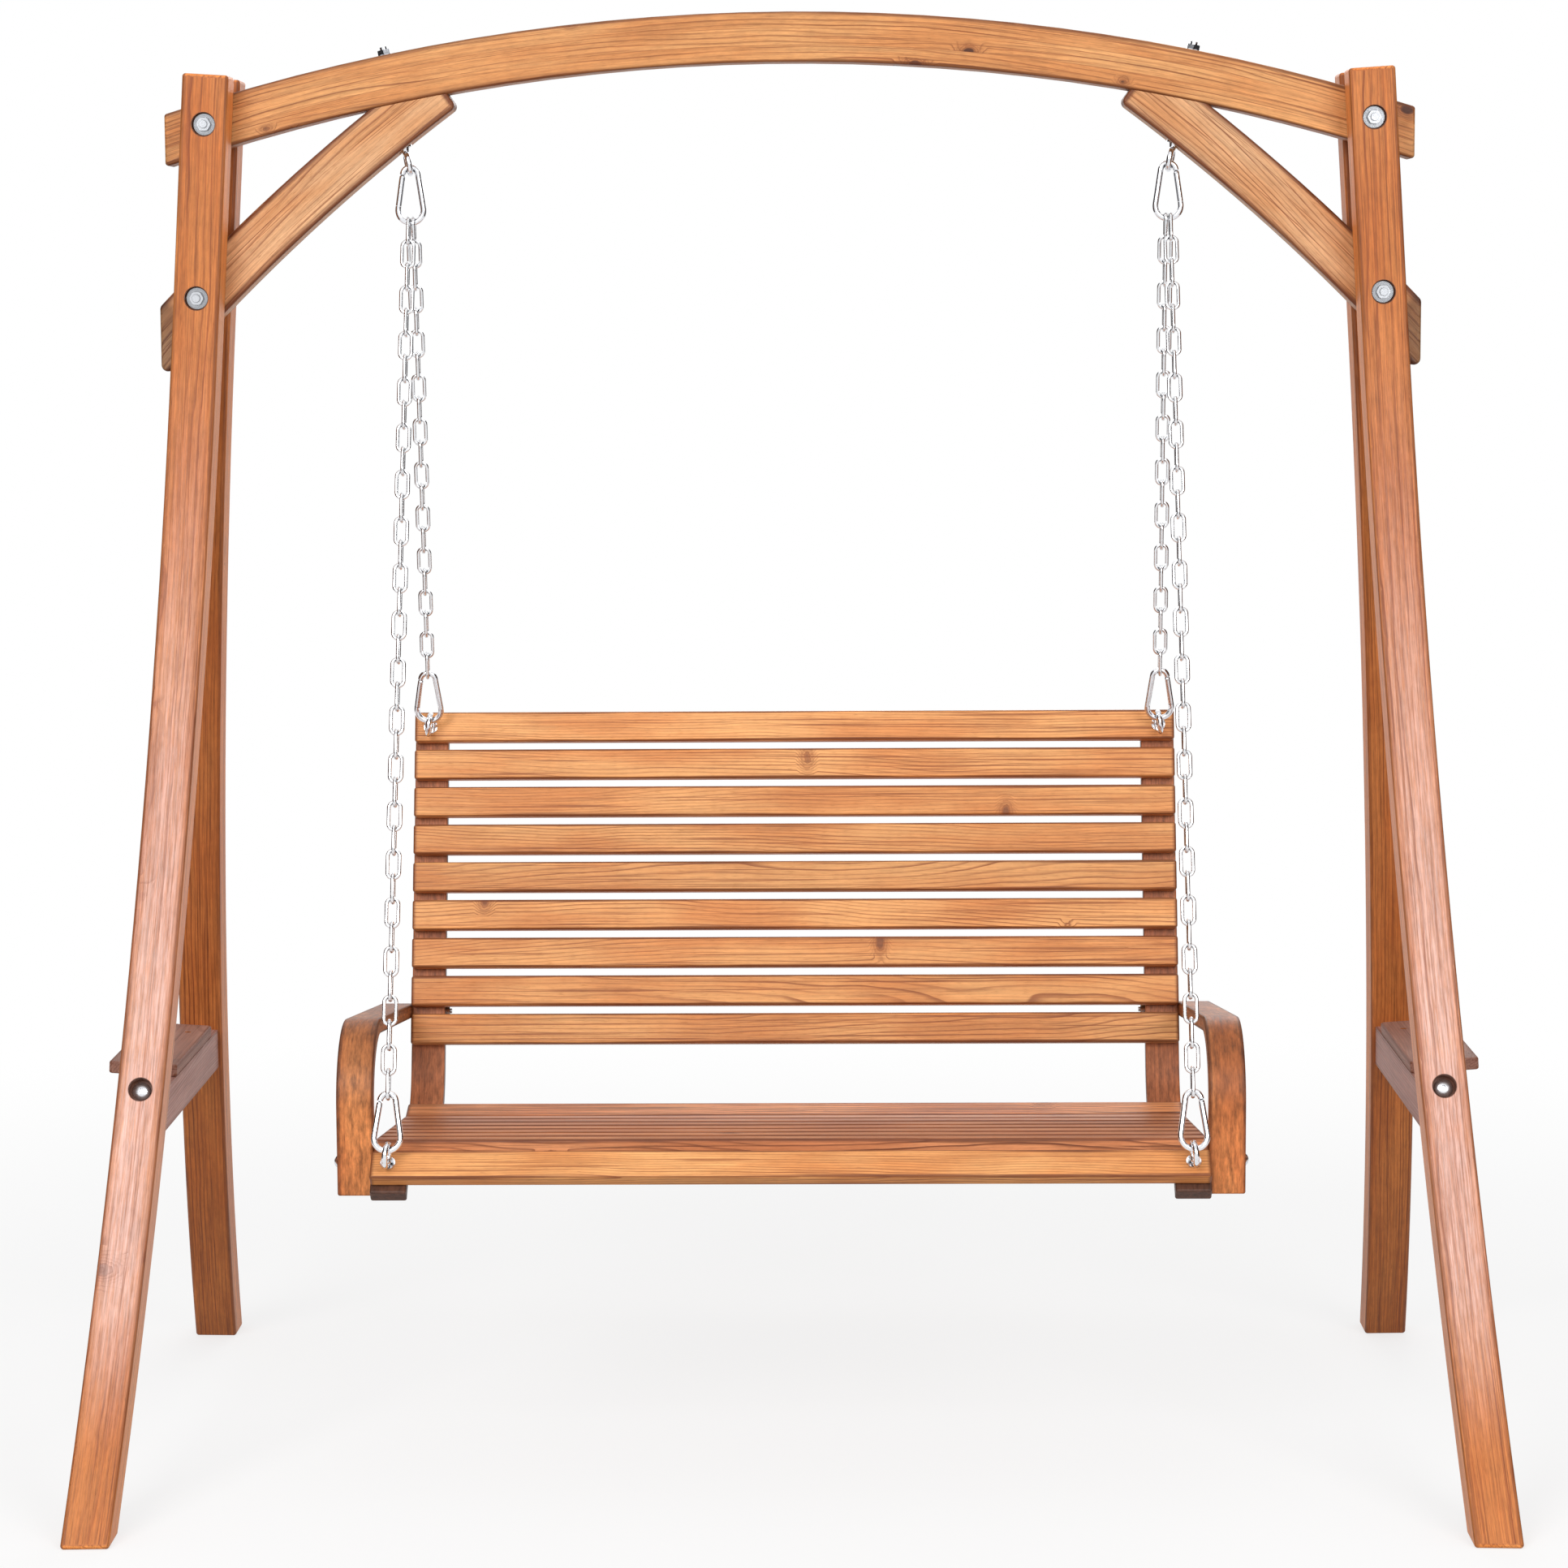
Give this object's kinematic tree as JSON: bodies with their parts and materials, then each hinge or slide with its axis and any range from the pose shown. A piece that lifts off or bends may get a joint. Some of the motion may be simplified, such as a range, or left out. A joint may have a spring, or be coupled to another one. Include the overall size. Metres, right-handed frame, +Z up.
{
  "type": "swing bench",
  "caption": "Freestanding garden swing bench: an arched timber frame on bowed legs carries a slatted bench with arms, hung on chains and snap hooks.",
  "frame": {"origin": "on the ground under the middle of the frame", "axes": "+X to the sitter's left as seen from the front (to the viewer's right), +Y to the back of the bench, +Z up"},
  "size_m": [1.886, 1.1618, 1.984],
  "materials": {
    "leg_timber": "stained, satin",
    "beam_timber": "stained, satin",
    "weathered_timber": "stained, weathered",
    "bent_timber": "stained, satin",
    "slat_timber": "stained, satin",
    "chain_steel": "bright zinc",
    "hook_steel": "bright zinc",
    "eye_steel": "bright zinc",
    "fastener_steel": "bright zinc"
  },
  "bodies": {
    "frame": {"board_screws": "fastener_steel", "brace_left": "beam_timber", "brace_right": "beam_timber", "frame_bolts": "fastener_steel", "frame_nuts": "fastener_steel", "frame_washers": "fastener_steel", "leg_front_left": "leg_timber", "leg_front_right": "leg_timber", "leg_rear_left": "leg_timber", "leg_rear_right": "leg_timber", "stretcher_barrel_nuts": "fastener_steel", "stretcher_board_left": "weathered_timber", "stretcher_board_right": "weathered_timber", "stretcher_bolts": "fastener_steel", "stretcher_left": "weathered_timber", "stretcher_right": "weathered_timber", "top_beam": "beam_timber", "upper_eye_bolts": "eye_steel", "upper_eye_nuts": "eye_steel"},
    "swing": {"arm_bolts": "fastener_steel", "arm_left": "bent_timber", "arm_nuts": "fastener_steel", "arm_right": "bent_timber", "back_slat_1": "slat_timber", "back_slat_2": "slat_timber", "back_slat_3": "slat_timber", "back_slat_4": "slat_timber", "back_slat_5": "slat_timber", "back_slat_6": "slat_timber", "back_slat_7": "slat_timber", "back_slat_8": "slat_timber", "back_slat_9": "slat_timber", "chain_front_left": "chain_steel", "chain_front_right": "chain_steel", "chain_rear_left": "chain_steel", "chain_rear_right": "chain_steel", "front_hooks": "hook_steel", "front_slat": "slat_timber", "hook_pins": "hook_steel", "rear_hooks": "hook_steel", "seat_eye_bolts": "eye_steel", "seat_eye_nuts": "eye_steel", "seat_slat_1": "slat_timber", "seat_slat_2": "slat_timber", "seat_slat_3": "slat_timber", "seat_slat_4": "slat_timber", "seat_slat_5": "slat_timber", "seat_slat_6": "slat_timber", "seat_slat_7": "slat_timber", "seat_slat_8": "slat_timber", "side_rail_left": "bent_timber", "side_rail_right": "bent_timber", "slat_screws": "fastener_steel", "upper_hooks": "hook_steel"},
    "gate_upper_left": {"gate_upper_left": "hook_steel"},
    "gate_front_left": {"gate_front_left": "hook_steel"},
    "gate_rear_left": {"gate_rear_left": "hook_steel"},
    "gate_upper_right": {"gate_upper_right": "hook_steel"},
    "gate_front_right": {"gate_front_right": "hook_steel"},
    "gate_rear_right": {"gate_rear_right": "hook_steel"}
  },
  "joints": [
    {"name": "swing", "type": "hinge", "parent": "frame", "child": "swing", "pos_m": [0, 0, 1.77747], "axis": [1, 0, 0], "range_deg": [-25, 25]},
    {"name": "gate_upper_left_hinge", "type": "hinge", "parent": "swing", "child": "gate_upper_left", "pos_m": [-0.53212, 0, 1.76356], "axis": [0, -1, 0], "range_deg": [0, 22], "stiffness_Nm_per_rad": 0.02, "springref_deg": -11.46},
    {"name": "gate_front_left_hinge", "type": "hinge", "parent": "swing", "child": "gate_front_left", "pos_m": [-0.54177, -0.37463, 0.54158], "axis": [0, -0.9516, 0.3072], "range_deg": [0, 22], "stiffness_Nm_per_rad": 0.02, "springref_deg": -11.46},
    {"name": "gate_rear_left_hinge", "type": "hinge", "parent": "swing", "child": "gate_rear_left", "pos_m": [-0.54092, 0.21485, 1.04725], "axis": [0, -0.9502, -0.3118], "range_deg": [0, 22], "stiffness_Nm_per_rad": 0.02, "springref_deg": -11.46},
    {"name": "gate_upper_right_hinge", "type": "hinge", "parent": "swing", "child": "gate_upper_right", "pos_m": [0.53212, 0, 1.76356], "axis": [0, 1, 0], "range_deg": [0, 22], "stiffness_Nm_per_rad": 0.02, "springref_deg": -11.46},
    {"name": "gate_front_right_hinge", "type": "hinge", "parent": "swing", "child": "gate_front_right", "pos_m": [0.54177, -0.37463, 0.54158], "axis": [0, 0.9516, -0.3072], "range_deg": [0, 22], "stiffness_Nm_per_rad": 0.02, "springref_deg": -11.46},
    {"name": "gate_rear_right_hinge", "type": "hinge", "parent": "swing", "child": "gate_rear_right", "pos_m": [0.54092, 0.21485, 1.04725], "axis": [0, 0.9502, 0.3118], "range_deg": [0, 22], "stiffness_Nm_per_rad": 0.02, "springref_deg": -11.46}
  ]
}
